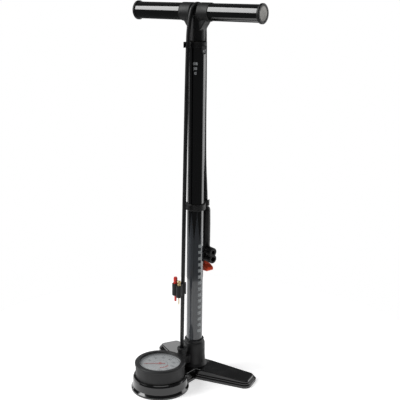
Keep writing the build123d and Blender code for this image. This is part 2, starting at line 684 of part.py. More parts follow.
with BuildPart() as ball_needle:
    turn(
        [
            (0, 146), (0.9, 146.6), (1.0, 148), (1.0, HOLDER_TOP - 4), (3.3, HOLDER_TOP - 4),
            (3.3, 184), (2.6, 184.6), (2.6, 186.4), (3.2, 187), (3.2, 190), (2.6, 191), (0, 191),
        ],
        plane=Plane.XZ.offset(-NEEDLE_AT[1]).move(Location((NEEDLE_AT[0], 0, 0))),
        axis=Axis((*NEEDLE_AT, 0), (0, 0, 1)),
    )
ball_needle.part.label = "ball_needle"
export_step(ball_needle.part, "parts/ball_needle.step")

# ---------------------------------------------------------------- chuck

CHUCK_AT = (0, CHUCK_Y)


def oval(radius, start, end, mode=Mode.ADD):
    """A bar along the ports' axis, with an upright oval outline round the two port centres."""
    with BuildSketch(PORT_PLANE.offset(start), mode=Mode.PRIVATE) as outline:
        SlotCenterToCenter(PORT_GAP, 2 * radius, rotation=90)
    extrude(outline.sketch, amount=end - start, mode=mode)


with BuildPart() as chuck_grip:
    turn(
        [
            (0, GRIP_SLEEVE_BOTTOM), (8.0, GRIP_SLEEVE_BOTTOM), (8.2, 246), (8.3, 280), (7.9, 306),
            (6.8, 310), (5.6, GRIP_SLEEVE_TOP), (0, GRIP_SLEEVE_TOP),
        ],
        plane=Plane.XZ.offset(-CHUCK_Y),
        axis=Axis((*CHUCK_AT, 0), (0, 0, 1)),
    )
    bar(4.6, GRIP_SLEEVE_BOTTOM, 300, at=CHUCK_AT, mode=Mode.SUBTRACT)
    bar(4.0, 300, GRIP_SLEEVE_TOP, at=CHUCK_AT, mode=Mode.SUBTRACT)
chuck_grip.part.label = "chuck_grip"
export_step(chuck_grip.part, "parts/chuck_grip.step")

with BuildPart() as chuck_stem:
    bar(4.5, 240, 299.5, at=CHUCK_AT)
    bar(1.5, 240, 299.5, at=CHUCK_AT, mode=Mode.SUBTRACT)
chuck_stem.part.label = "chuck_stem"
export_step(chuck_stem.part, "parts/chuck_stem.step")

with BuildPart() as chuck_body:
    bar(8.0, CHUCK_Z, GRIP_SLEEVE_BOTTOM, at=CHUCK_AT)
    block(12, 36, -12, 12, plane=CHUCK_SIDE, at=(12, 222), mode=Mode.SUBTRACT)
    oval(9.0, -9.5, NOSE_START)
    # room for the paddle when the lever is up
    block(8, 8.5, -12, 12, plane=CHUCK_SIDE, at=(-9.5, 208.5), mode=Mode.SUBTRACT)
    oval(6.2, NOSE_START, 8.4)
    # fork that the lever turns in
    bar(EAR_R, -8, 8, plane=CHUCK_SIDE, at=(LEVER_HINGE_T, LEVER_HINGE_Z))
    block(2 * EAR_R, 9, -8, 8, plane=CHUCK_SIDE, at=(LEVER_HINGE_T, LEVER_HINGE_Z + 4.5))
    bar(4.55, 240, GRIP_SLEEVE_BOTTOM, at=CHUCK_AT, mode=Mode.SUBTRACT)
    bar(1.5, CHUCK_Z, 241, at=CHUCK_AT, mode=Mode.SUBTRACT)
    bar(5.06, -5.2, 8.4, plane=PORT_PLANE, mode=Mode.SUBTRACT)
    block(14, 14, -5.3, 5.3, plane=CHUCK_SIDE, at=(LEVER_HINGE_T, LEVER_HINGE_Z + 0.5), mode=Mode.SUBTRACT)
    bar(1.3, -12, 12, plane=CHUCK_SIDE, at=(LEVER_HINGE_T, LEVER_HINGE_Z), mode=Mode.SUBTRACT)
chuck_body.part.label = "chuck_body"
export_step(chuck_body.part, "parts/chuck_body.step")

with BuildPart() as lever_pin:
    bar(1.25, -7.9, 7.9, plane=CHUCK_SIDE, at=(LEVER_HINGE_T, LEVER_HINGE_Z))
lever_pin.part.label = "lever_pin"
export_step(lever_pin.part, "parts/lever_pin.step")

with BuildPart() as chuck_lever:
    hinge_t = LEVER_HINGE_T
    hinge_z = LEVER_HINGE_Z
    # the wide rounded paddle, and the narrow hub in the fork
    paddle = [
        (hinge_t - 1.5, hinge_z - 5.5), (hinge_t + 6, hinge_z - 5.2), (hinge_t + 14.5, hinge_z - 9.5),
        (hinge_t + 16, hinge_z - 16), (hinge_t + 4, hinge_z - 17), (hinge_t - 1.5, hinge_z - 12),
    ]
    plate(paddle, -8.2, 8.2, plane=CHUCK_SIDE)
    fillet(chuck_lever.edges().filter_by(Axis((0, 0, 0), (PORT_SIN, -PORT_COS, 0))), 2.6)
    fillet(chuck_lever.faces().sort_by(Axis((0, 0, 0), (PORT_SIN, -PORT_COS, 0)))[-1].edges(), 2.2)
    fillet(chuck_lever.faces().sort_by(Axis((0, 0, 0), (PORT_SIN, -PORT_COS, 0)))[0].edges(), 2.2)
    hub = [
        (hinge_t - 2.6, hinge_z + 1.6), (hinge_t + 2.6, hinge_z + 1.6),
        (hinge_t + 7, hinge_z - 6), (hinge_t + 3, hinge_z - 12), (hinge_t - 2.6, hinge_z - 3),
    ]
    plate(hub, -5.0, 5.0, plane=CHUCK_SIDE)
    bar(1.33, -10, 10, plane=CHUCK_SIDE, at=(hinge_t, hinge_z), mode=Mode.SUBTRACT)
chuck_lever.part.label = "chuck_lever"
export_step(chuck_lever.part, "parts/chuck_lever.step")

with BuildPart() as chuck_plunger:
    bar(5.0, -5.0, 5.4, plane=PORT_PLANE)
    bar(1.5, -1, 5.4, plane=PORT_PLANE, mode=Mode.SUBTRACT)
chuck_plunger.part.label = "chuck_plunger"
export_step(chuck_plunger.part, "parts/chuck_plunger.step")

WIDE_PORT_AT = (0, -PORT_GAP / 2)
NARROW_PORT_AT = (0, PORT_GAP / 2)

with BuildPart() as chuck_gland:
    oval(6.2, 8.5, 18.9)
    bar(WIDE_PORT_R, 8.5, 18.9, plane=PORT_PLANE, at=WIDE_PORT_AT, mode=Mode.SUBTRACT)
    bar(NARROW_PORT_R, 8.5, 18.9, plane=PORT_PLANE, at=NARROW_PORT_AT, mode=Mode.SUBTRACT)
chuck_gland.part.label = "chuck_gland"
export_step(chuck_gland.part, "parts/chuck_gland.step")

with BuildPart() as chuck_nose:
    # one lobe round each port, with a waist between them
    bar(NOSE_R, NOSE_START, NOSE_END, plane=PORT_PLANE, at=WIDE_PORT_AT)
    bar(NOSE_R, NOSE_START, NOSE_END, plane=PORT_PLANE, at=NARROW_PORT_AT)
    block(13.6, PORT_GAP, NOSE_START, NOSE_END - 1.6, plane=PORT_PLANE)
    chamfer(chuck_nose.edges().group_by(Axis((0, 0, 0), (PORT_COS, PORT_SIN, 0)))[-1], 0.9)
    oval(6.4, NOSE_START, 19, mode=Mode.SUBTRACT)
    bar(WIDE_PORT_R + 0.4, 19, NOSE_END, plane=PORT_PLANE, at=WIDE_PORT_AT, mode=Mode.SUBTRACT)
    bar(NARROW_PORT_R + 0.4, 19, NOSE_END, plane=PORT_PLANE, at=NARROW_PORT_AT, mode=Mode.SUBTRACT)
chuck_nose.part.label = "chuck_nose"
export_step(chuck_nose.part, "parts/chuck_nose.step")
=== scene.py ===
from math import cos, pi, radians, sin

import bmesh
import bpy
from mathutils import Matrix, Vector


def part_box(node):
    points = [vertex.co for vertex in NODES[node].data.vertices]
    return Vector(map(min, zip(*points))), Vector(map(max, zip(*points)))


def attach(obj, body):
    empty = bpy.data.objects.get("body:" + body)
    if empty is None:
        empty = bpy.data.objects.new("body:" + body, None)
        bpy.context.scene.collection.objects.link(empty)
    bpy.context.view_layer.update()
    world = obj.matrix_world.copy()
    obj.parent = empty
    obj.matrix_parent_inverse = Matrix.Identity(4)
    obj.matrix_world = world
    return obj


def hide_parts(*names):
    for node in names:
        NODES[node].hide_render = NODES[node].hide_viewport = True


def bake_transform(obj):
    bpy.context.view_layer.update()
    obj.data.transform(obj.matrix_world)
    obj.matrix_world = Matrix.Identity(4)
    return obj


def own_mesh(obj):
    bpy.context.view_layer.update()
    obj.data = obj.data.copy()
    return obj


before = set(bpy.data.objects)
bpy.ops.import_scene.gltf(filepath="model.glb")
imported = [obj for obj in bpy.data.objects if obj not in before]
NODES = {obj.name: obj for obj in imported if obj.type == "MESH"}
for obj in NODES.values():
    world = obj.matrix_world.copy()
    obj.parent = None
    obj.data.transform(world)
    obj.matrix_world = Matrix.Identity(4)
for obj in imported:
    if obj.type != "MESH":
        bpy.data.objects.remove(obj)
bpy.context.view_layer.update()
MM = 0.001

# The grain that most surfaces share
CLOUD_MM = 18.0          # size of the patches in which gloss and tint wander
CLOUD_RANGE = (0.3, 0.7)  # where most of the noise lies
GRAIN_DEPTH = 0.25       # depth of the grain, as a share of its size
LATHE_SCALE = 900.0      # one turned ring every 0.35 mm

def centre_of(name):
    """The middle of a CAD node's box."""
    low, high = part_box(name)
    return (Vector(low) + Vector(high)) / 2


# Places that the pieces share, in metres, all read from the frame
BARREL_LOW, BARREL_HIGH = (Vector(corner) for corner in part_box("barrel"))
BARREL_R = (BARREL_HIGH.x - BARREL_LOW.x) / 2
RING_LOW_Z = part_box("mid_ring")[0][2]
GAUGE = centre_of("gauge_dial")
DIAL_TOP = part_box("gauge_dial")[1][2]
DIAL_R = (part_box("gauge_dial")[1][0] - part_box("gauge_dial")[0][0]) / 2

# ------------------------------------------------------------------ helpers


def linear(hex_colour):
    """An sRGB hex colour as linear RGBA."""
    channels = [int(hex_colour[i:i + 2], 16) / 255 for i in (1, 3, 5)]
    return [c / 12.92 if c <= 0.04045 else ((c + 0.055) / 1.055) ** 2.4 for c in channels] + [1.0]


def add_node(tree, kind, settings=None, **links):
    """A shader or geometry node, with its settings, and its inputs set or linked by name."""
    made = tree.nodes.new(kind)
    for name, value in (settings or {}).items():
        setattr(made, name, value)
    for name, value in links.items():
        key = int(name[1:]) if name[0] == "_" and name[1:].isdigit() else name.replace("_", " ")
        if isinstance(value, bpy.types.NodeSocket):
            tree.links.new(value, made.inputs[key])
        else:
            made.inputs[key].default_value = value
    return made


def new_material(name, colour, roughness, metallic=0.0, **sockets):
    """A material with its Principled shader, and the shader's tree and node."""
    material = bpy.data.materials.new(name)
    material.use_nodes = True
    tree = material.node_tree
    shader = tree.nodes["Principled BSDF"]
    shader.inputs["Base Color"].default_value = linear(colour)
    shader.inputs["Roughness"].default_value = roughness
    shader.inputs["Metallic"].default_value = metallic
    for socket, value in sockets.items():
        shader.inputs[socket.replace("_", " ")].default_value = value
    return material, tree, shader


def surface_grain(tree, shader, grain_mm, strength, rounding_mm=0.0, rough=None, tint=None):
    """Fine grain in the surface: a bump at a real grain size, uneven gloss, uneven tint and soft edges."""
    place = add_node(tree, "ShaderNodeTexCoord").outputs["Object"]
    grain = add_node(tree, "ShaderNodeTexNoise", Vector=place, Scale=1 / (grain_mm * MM), Detail=3.0)
    cloud = add_node(tree, "ShaderNodeTexNoise", Vector=place, Scale=1 / (CLOUD_MM * MM), Detail=4.0)
    bump = add_node(tree, "ShaderNodeBump", Height=grain.outputs["Fac"], Strength=strength,
                    Distance=GRAIN_DEPTH * grain_mm * MM)
    if rounding_mm:
        edge = add_node(tree, "ShaderNodeBevel", {"samples": 4}, Radius=rounding_mm * MM)
        tree.links.new(edge.outputs["Normal"], bump.inputs["Normal"])
    tree.links.new(bump.outputs["Normal"], shader.inputs["Normal"])
    if rough:
        low, high = rough
        spread = add_node(tree, "ShaderNodeMapRange", Value=cloud.outputs["Fac"],
                          From_Min=CLOUD_RANGE[0], From_Max=CLOUD_RANGE[1], To_Min=low, To_Max=high)
        tree.links.new(spread.outputs["Result"], shader.inputs["Roughness"])
    if tint:
        dark, light = tint
        blend = add_node(tree, "ShaderNodeMix", {"data_type": "RGBA"})
        tree.links.new(cloud.outputs["Fac"], blend.inputs["Factor"])
        blend.inputs[6].default_value = linear(dark)
        blend.inputs[7].default_value = linear(light)
        tree.links.new(blend.outputs[2], shader.inputs["Base Color"])
    return place


# ------------------------------------------------------------------ materials

def glossy_abs():
    """Injection-moulded black ABS, mirror-polished tool: deep black with crisp highlights."""
    material, tree, shader = new_material("glossy_black_abs", "#0a0a0b", 0.12, Coat_Weight=0.4,
                                          Coat_Roughness=0.04)
    surface_grain(tree, shader, 9.0, 0.015, 0.5, rough=(0.09, 0.15), tint=("#070708", "#0b0b0c"))
    return material


def satin_nylon():
    """Glass-filled nylon from a spark-eroded tool: charcoal, with a fine grain that spreads the light."""
    material, tree, shader = new_material("satin_black_nylon", "#19191a", 0.5, Specular_IOR_Level=0.4)
    surface_grain(tree, shader, 0.7, 0.45, 0.5, rough=(0.44, 0.58), tint=("#151516", "#1d1d1e"))
    return material


def gloss_enamel():
    """Stove enamel on drawn tube: almost black, wet-looking, with a trace of orange peel."""
    material, tree, shader = new_material("gloss_black_enamel", "#070708", 0.1, Coat_Weight=0.5,
                                          Coat_Roughness=0.03)
    surface_grain(tree, shader, 14.0, 0.002, rough=(0.07, 0.1), tint=("#060607", "#0a0a0b"))
    return material


def barrel_enamel():
    """The barrel's enamel: black above, slate grey below the ring, joined by a row of black spikes."""
    spike_mm, spikes, first_spike = 54.0, 9, 0.8425
    soft_edge = (-0.02, 0.05)
    grey_at_top = 0.5        # how much of the grey shows between the spikes' roots
    material, tree, shader = new_material("barrel_enamel", "#070708", 0.12, Coat_Weight=0.5,
                                          Coat_Roughness=0.04)
    place = surface_grain(tree, shader, 14.0, 0.002, rough=(0.09, 0.13))
    axes = add_node(tree, "ShaderNodeSeparateXYZ", Vector=place)
    angle = add_node(tree, "ShaderNodeMath", {"operation": "ARCTAN2"},
                     _0=axes.outputs["Y"], _1=axes.outputs["X"])
    turns = add_node(tree, "ShaderNodeMath", {"operation": "MULTIPLY_ADD"},
                     _0=angle.outputs[0], _1=spikes / (2 * pi), _2=spikes + first_spike)
    tooth = add_node(tree, "ShaderNodeMath", {"operation": "PINGPONG"}, _0=turns.outputs[0], _1=0.5)
    depth = add_node(tree, "ShaderNodeMapRange", Value=axes.outputs["Z"], From_Min=RING_LOW_Z,
                     From_Max=RING_LOW_Z - spike_mm * MM, To_Min=0.0, To_Max=0.5)
    past = add_node(tree, "ShaderNodeMath", {"operation": "SUBTRACT"},
                    _0=depth.outputs[0], _1=tooth.outputs[0])
    edge = add_node(tree, "ShaderNodeMapRange", {"interpolation_type": "SMOOTHSTEP"},
                    Value=past.outputs[0], From_Min=soft_edge[0], From_Max=soft_edge[1])
    fade = add_node(tree, "ShaderNodeMapRange", Value=axes.outputs["Z"], From_Min=RING_LOW_Z,
                    From_Max=RING_LOW_Z - spike_mm * MM, To_Min=grey_at_top, To_Max=1.0)
    amount = add_node(tree, "ShaderNodeMath", {"operation": "MULTIPLY"},
                      _0=edge.outputs[0], _1=fade.outputs[0])
    blend = add_node(tree, "ShaderNodeMix", {"data_type": "RGBA"})
    tree.links.new(amount.outputs[0], blend.inputs["Factor"])
    blend.inputs[6].default_value = linear("#060607")
    blend.inputs[7].default_value = linear("#43464a")
    tree.links.new(blend.outputs[2], shader.inputs["Base Color"])
    return material


def printed_ink(name, colour):
    """Pad-printed ink on enamel: flat colour, a little rougher than what it lies on."""
    material, tree, shader = new_material(name, colour, 0.35)
    surface_grain(tree, shader, 0.4, 0.1, rough=(0.3, 0.42))
    return material


def hose_rubber():
    """Extruded EPDM hose: near-black, faintly dusty, with a soft sheen along it."""
    material, tree, shader = new_material("hose_rubber", "#171718", 0.42, Specular_IOR_Level=0.45)
    surface_grain(tree, shader, 1.2, 0.12, rough=(0.36, 0.5), tint=("#131314", "#1b1b1c"))
    return material


def pad_rubber():
    """Moulded rubber: matt black that takes no highlight."""
    material, tree, shader = new_material("moulded_rubber", "#141414", 0.8, Specular_IOR_Level=0.3)
    surface_grain(tree, shader, 0.9, 0.5, rough=(0.72, 0.88))
    return material


def turned_metal(name, colour, roughness):
    """Turned metal: fine rings from the lathe round the piece, and bright edges."""
    material, tree, shader = new_material(name, colour, roughness, metallic=1.0)
    place = surface_grain(tree, shader, 0.5, 0.1, 0.15, rough=(roughness * 0.8, roughness * 1.3))
    wave = add_node(tree, "ShaderNodeTexWave", {"bands_direction": "Z"}, Vector=place, Scale=LATHE_SCALE,
                    Distortion=1.5)
    bump = add_node(tree, "ShaderNodeBump", Height=wave.outputs["Fac"], Strength=0.15, Distance=0.05 * MM)
    source = shader.inputs["Normal"].links[0].from_socket
    tree.links.new(source, bump.inputs["Normal"])
    tree.links.new(bump.outputs["Normal"], shader.inputs["Normal"])
    return material


def red_acetal(name, colour):
    """Moulded acetal in signal red: saturated, waxy gloss."""
    material, tree, shader = new_material(name, colour, 0.32, Subsurface_Weight=0.05, Subsurface_Scale=0.002)
    surface_grain(tree, shader, 2.0, 0.12, 0.25, rough=(0.26, 0.38))
    return material


def dial_enamel():
    """Printed aluminium dial: pale silver-grey, with a soft uneven sheen."""
    material, tree, shader = new_material("dial_face", "#bfc1c2", 0.42)
    surface_grain(tree, shader, 0.5, 0.12, rough=(0.32, 0.44), tint=("#b9bbbc", "#c6c8c9"))
    return material


def lens_acrylic():
    """Clear acrylic window: all but invisible, with one soft reflection."""
    material, tree, shader = new_material("clear_acrylic", "#d5d8da", 0.04, Alpha=0.16)
    surface_grain(tree, shader, 12.0, 0.02, rough=(0.03, 0.06))
    return material


def natural_nylon():
    """Unfilled nylon: milky off-white, for the inner bushes and the piston."""
    material, tree, shader = new_material("natural_nylon", "#cfcabb", 0.45, Subsurface_Weight=0.1,
                                          Subsurface_Scale=0.003)
    surface_grain(tree, shader, 1.0, 0.2, 0.2, rough=(0.38, 0.52))
    return material


ABS = glossy_abs()
NYLON = satin_nylon()
ENAMEL = gloss_enamel()
BARREL = barrel_enamel()
GREY_INK = printed_ink("printed_grey_ink", "#9ea3a4")
PALE_INK = printed_ink("printed_pale_ink", "#c4c8c9")
DARK_INK = printed_ink("printed_dark_ink", "#232425")
RED_INK = printed_ink("printed_red_ink", "#c8473a")
RUBBER = pad_rubber()
HOSE = hose_rubber()
STEEL = turned_metal("polished_steel", "#b9babc", 0.18)
ZINC = turned_metal("zinc_plated_steel", "#8f9091", 0.34)
BRASS = turned_metal("turned_brass", "#cdb98c", 0.3)
CAP_METAL = turned_metal("brushed_cap_metal", "#6d6c69", 0.42)
RED = red_acetal("signal_red_acetal", "#e23a30")
# The lever's red acetal is lighter and more orange than the cone's. It is partly the lever's own tint and
# partly painted light for a front that the lamps leave dim.
LEVER_RED_PAINTED_LIT = red_acetal("orange_red_acetal_painted_lit", "#f5532d")
DIAL = dial_enamel()
LENS = lens_acrylic()
WHITE_NYLON = natural_nylon()

NODE_MATERIALS = {
    ABS: ["base"],
    RUBBER: ["foot_pads", "ring_pad", "barrel_gasket", "rod_wiper", "piston_seal", "piston_bumper",
             "chuck_gland"],
    NYLON: ["manifold", "mid_ring", "top_collar", "handle_tee", "end_cap_left", "end_cap_right",
            "gauge_housing", "gauge_bezel", "hose_fitting", "adapter_holder", "chuck_grip", "chuck_body",
            "chuck_nose"],
    ENAMEL: ["grip_left", "grip_right"],
    BARREL: ["barrel"],
    STEEL: ["rod", "valve_spring", "chuck_stem", "lever_pin"],
    ZINC: ["manifold_screws", "collar_screws", "handle_bolt", "piston_bolt", "housing_screws"],
    BRASS: ["valve_seat", "valve_disc", "gauge_inlet", "bourdon_block", "bourdon_tube", "movement_frame",
            "needle_spindle", "sector_gear", "ball_needle"],
    CAP_METAL: ["cap_disc_left", "cap_disc_right"],
    RED: ["cone_adapter"],
    LEVER_RED_PAINTED_LIT: ["chuck_lever"],
    DIAL: ["gauge_dial"],
    RED_INK: ["gauge_needle"],
    LENS: ["gauge_lens"],
    WHITE_NYLON: ["rod_guide", "piston_head", "stop_sleeve", "chuck_plunger"],
}
for finish, names in NODE_MATERIALS.items():
    for name in names:
        mesh = NODES[name].data
        mesh.materials.clear()
        mesh.materials.append(finish)


def placed(name, data):
    """A new object in the scene."""
    made = bpy.data.objects.new(name, data)
    bpy.context.scene.collection.objects.link(made)
    return made


def finished_mesh(piece):
    """A plain mesh of an object as its modifiers, curve or text leave it."""
    depsgraph = bpy.context.evaluated_depsgraph_get()
    return bpy.data.meshes.new_from_object(piece.evaluated_get(depsgraph), depsgraph=depsgraph)


def make_piece(name, mesh, material, body, smooth=True):
    """A new piece at the origin, finished in one material, riding on a body if one is named."""
    piece = placed(name, mesh)
    mesh.materials.clear()
    mesh.materials.append(material)
    mesh.polygons.foreach_set("use_smooth", [smooth] * len(mesh.polygons))
    if body:
        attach(piece, body)
    return piece


def mesh_from(bm, name):
    """A mesh of a bmesh, with its normals outwards."""
    bmesh.ops.recalc_face_normals(bm, faces=bm.faces)
    mesh = bpy.data.meshes.new(name)
    bm.to_mesh(mesh)
    bm.free()
    return mesh


def applied(piece):
    """Make a piece's modifiers permanent."""
    mesh = finished_mesh(piece)
    piece.modifiers.clear()
    piece.data = mesh


def repeat_tree():
    """Geometry nodes that repeat a shape, turning it about Z and shifting it at each step."""
    tree = bpy.data.node_groups.new("repeat_a_shape", "GeometryNodeTree")
    kinds = {"Shape": "Geometry", "Count": "Int", "Turn": "Float", "Shift": "Vector", "Finish": "Material"}
    for socket, kind in kinds.items():
        tree.interface.new_socket(socket, in_out="INPUT", socket_type=f"NodeSocket{kind}")
    tree.interface.new_socket("Shape", in_out="OUTPUT", socket_type="NodeSocketGeometry")
    given = add_node(tree, "NodeGroupInput").outputs
    index = add_node(tree, "GeometryNodeInputIndex").outputs["Index"]
    angle = add_node(tree, "ShaderNodeMath", {"operation": "MULTIPLY"}, _0=index, _1=given["Turn"])
    place = add_node(tree, "ShaderNodeVectorMath", {"operation": "SCALE"}, _0=given["Shift"], Scale=index)
    facing = add_node(tree, "ShaderNodeCombineXYZ", Z=angle.outputs[0])
    points = add_node(tree, "GeometryNodePoints", Count=given["Count"], Position=place.outputs[0])
    copies = add_node(tree, "GeometryNodeInstanceOnPoints", Points=points.outputs[0], Instance=given["Shape"],
                      Rotation=facing.outputs[0])
    real = add_node(tree, "GeometryNodeRealizeInstances", Geometry=copies.outputs[0])
    finish = add_node(tree, "GeometryNodeSetMaterial", Geometry=real.outputs[0], Material=given["Finish"])
    add_node(tree, "NodeGroupOutput", Shape=finish.outputs[0])
    return tree


REPEAT = repeat_tree()


def repeated(name, mesh, material, count, turn=0.0, shift=(0, 0, 0)):
    """A mesh of count copies of a shape, each turned and shifted from the one before."""
    shape = placed(name, mesh)
    modifier = shape.modifiers.new("repeat", "NODES")
    modifier.node_group = REPEAT
    values = {"Count": count, "Turn": turn, "Shift": shift, "Finish": material}
    for socket in REPEAT.interface.items_tree:
        if socket.in_out == "INPUT" and socket.name in values:
            modifier[socket.identifier] = values[socket.name]
    applied(shape)
    made = shape.data
    bpy.data.objects.remove(shape)
    return made


# ------------------------------------------------------------------ moulded parts with soft edges

SAME_POINT = 0.002 * MM      # corners nearer than this are merged


def moulded(node, material, body, voxel_mm, passes):
    """A moulded part: the CAD shape with the soft inside and outside corners that a mould leaves."""
    bm = bmesh.new()
    bm.from_mesh(NODES[node].data)
    bmesh.ops.remove_doubles(bm, verts=bm.verts, dist=SAME_POINT)
    piece = placed(f"{node}_moulding", mesh_from(bm, f"{node}_moulding"))
    remesh = piece.modifiers.new("skin", "REMESH")
    remesh.mode = "VOXEL"
    remesh.voxel_size = voxel_mm * MM
    soften = piece.modifiers.new("soften", "SMOOTH")
    soften.factor = 0.5
    soften.iterations = passes
    applied(piece)
    mesh = piece.data
    bpy.data.objects.remove(piece)
    piece = make_piece(f"{node}_moulding", mesh, material, body)
    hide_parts(node)


moulded("handle_tee", NYLON, "handle", 0.6, 35)
moulded("manifold", NYLON, "stand", 0.6, 4)
moulded("chuck_body", NYLON, "stand", 0.35, 3)
moulded("chuck_nose", NYLON, "stand", 0.35, 3)
moulded("adapter_holder", NYLON, "stand", 0.35, 3)
moulded("chuck_lever", LEVER_RED_PAINTED_LIT, "lever", 0.35, 12)

# ------------------------------------------------------------------ valve spring

coil = bmesh.new()
coil.from_mesh(NODES["valve_spring"].data)
bmesh.ops.remove_doubles(coil, verts=coil.verts, dist=SAME_POINT)
spring = make_piece("valve_coil", mesh_from(coil, "valve_coil"), STEEL, "stand")
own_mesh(spring)
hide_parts("valve_spring")

# ------------------------------------------------------------------ hose

HOSE_DIAMETER = 7 * MM
HOSE_ROUTE = [
    (0, -0.032, 0.049),
    (0, -0.0243, 0.588),
    (0.0031, -0.0200, 0.651),
    (0.0013, -0.0083, 0.6626),
    (-0.0013, 0.0083, 0.6626),
    (-0.0031, 0.0202, 0.651),
    (-0.0014, 0.0209, 0.560),
    (-0.0002, 0.0197, 0.460),
    (0.0002, 0.0210, 0.385),
    (0, 0.0250, 0.342),
    (0, 0.0266, 0.302),
]


def smooth_line(points, resolution):
    """Points along the smooth curve that has the given points as its control points."""
    curve = bpy.data.curves.new("hose_line", "CURVE")
    curve.dimensions = "3D"
    spline = curve.splines.new("NURBS")
    spline.points.add(len(points) - 1)
    for place, point in zip(spline.points, points):
        place.co = (*point, 1)
    spline.order_u = 3
    spline.use_endpoint_u = True
    curve.resolution_u = resolution
    line = placed("hose_line", curve)
    mesh = finished_mesh(line)
    path = [vertex.co.copy() for vertex in mesh.vertices]
    bpy.data.objects.remove(line)
    bpy.data.meshes.remove(mesh)
    return path


def tube_mesh(name, path, radius, sides):
    """A closed round tube that follows a path."""
    bm = bmesh.new()
    rings = []
    across = Vector((1, 0, 0))
    for index, point in enumerate(path):
        ahead = path[min(index + 1, len(path) - 1)] - path[max(index - 1, 0)]
        ahead.normalize()
        across = (across - ahead * across.dot(ahead)).normalized()
        up = ahead.cross(across)
        turns = [2 * pi * side / sides for side in range(sides)]
        rings.append([bm.verts.new(point + radius * (cos(t) * across + sin(t) * up)) for t in turns])
    for ring, following in zip(rings, rings[1:]):
        for side in range(sides):
            after = (side + 1) % sides
            bm.faces.new((ring[side], ring[after], following[after], following[side]))
    bm.faces.new(rings[0])
    bm.faces.new(rings[-1])
    return mesh_from(bm, name)


STEPS_PER_POINT = 24
SIDES = 24
hose_path = smooth_line(HOSE_ROUTE, STEPS_PER_POINT)
hose_mesh = tube_mesh("hose_tube", hose_path, HOSE_DIAMETER / 2, SIDES)
hose_piece = make_piece("hose_tube", hose_mesh, HOSE, None)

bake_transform(hose_piece)
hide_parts("hose")

# ------------------------------------------------------------------ printed marks on the barrel


def closed_strip(bm, sections):
    """Join sections of four corners into one closed strip."""
    for near, far in zip(sections, sections[1:]):
        for a, b in ((0, 1), (1, 3), (3, 2), (2, 0)):
            bm.faces.new((near[a], near[b], far[b], far[a]))
    for end in (sections[0], sections[-1]):
        bm.faces.new((end[0], end[1], end[3], end[2]))


INK_THICKNESS = 0.06 * MM


def wrapped_patch(bm, radius, angle, half_width, low, high, steps=6):
    """A thin printed patch wrapped round the barrel."""
    columns = []
    for step in range(steps + 1):
        turn = angle + (2 * step / steps - 1) * half_width / radius
        columns.append([
            bm.verts.new((r * cos(turn), r * sin(turn), z))
            for r in (radius, radius + INK_THICKNESS) for z in (low, high)
        ])
    closed_strip(bm, columns)


SKIN = BARREL_R + 0.01 * MM

# A plain mark of three bars under the collar, each narrower than the one above
BARS = 3
BAR_ANGLE = radians(-56)
BAR_DROP, BAR_PITCH, BAR_HEIGHT = 34, 8, 4.5     # from the top of the barrel, mm
BAR_HALF_WIDTH, BAR_NARROWING = 3.6, 0.8         # mm
marks = bmesh.new()
for bar in range(BARS):
    low = BARREL_HIGH.z - (BAR_DROP + BAR_PITCH * bar) * MM
    half_width = (BAR_HALF_WIDTH - BAR_NARROWING * bar) * MM
    wrapped_patch(marks, SKIN, BAR_ANGLE, half_width, low, low + BAR_HEIGHT * MM)
make_piece("collar_mark", mesh_from(marks, "collar_mark"), PALE_INK, "stand", smooth=False)

# A column of plain dashes down the barrel, below the spikes
DASHES = 15
DASH_ANGLE = radians(-8)
DASH_HALF_WIDTH = 3.6 * MM
DASH_HEIGHT = 6 * MM
DASH_PITCH = 11.5 * MM
DASH_TOP = RING_LOW_Z - 62 * MM
dash = bmesh.new()
wrapped_patch(dash, SKIN, DASH_ANGLE, DASH_HALF_WIDTH, DASH_TOP - DASH_HEIGHT, DASH_TOP)
dashes = repeated("barrel_dashes", mesh_from(dash, "dash"), GREY_INK, DASHES, shift=(0, 0, -DASH_PITCH))
make_piece("barrel_dashes", dashes, GREY_INK, "stand", smooth=False)

# ------------------------------------------------------------------ gauge dial

SCALE_START = 225.0      # degrees, where the needle rests
SCALE_SWEEP = 270.0
SCALE_TOP = 160          # the last number on the dial
SMALL_STEP, BIG_STEP = 5, 20
RED_FROM = 120

INK_LOW = DIAL_TOP + 0.01 * MM
INK_HIGH = DIAL_TOP + 0.09 * MM
LONG_TICK_TOP = INK_HIGH + 0.02 * MM     # proud of the short ticks that they cover
TICK_RIM = DIAL_R - 3.5 * MM

# Printed bands: inner and outer radius
RIM_LINE = (TICK_RIM, TICK_RIM + 0.5 * MM)
INNER_LINE = (13.5 * MM, 13.9 * MM)
INNER_RED = (14.4 * MM, 16.6 * MM)
RIM_RED = (DIAL_R - 2.7 * MM, DIAL_R - 1.9 * MM)

NUMBER_SIZE = 6.2 * MM
NUMBER_HALF_DEPTH = 0.04 * MM
NUMBER_REACH = DIAL_R - 14.5 * MM


def arc_band(bm, inner, outer, first, last, steps=60):
    """A thin printed band on the dial, from one angle to another."""
    sections = []
    for step in range(steps + 1):
        turn = radians(first + (last - first) * step / steps)
        sections.append([
            bm.verts.new((GAUGE.x + r * cos(turn), GAUGE.y + r * sin(turn), z))
            for r in (inner, outer) for z in (INK_LOW, INK_HIGH)
        ])
    closed_strip(bm, sections)


def dial_angle(reading):
    """Where a reading is on the dial."""
    return SCALE_START - SCALE_SWEEP * reading / SCALE_TOP


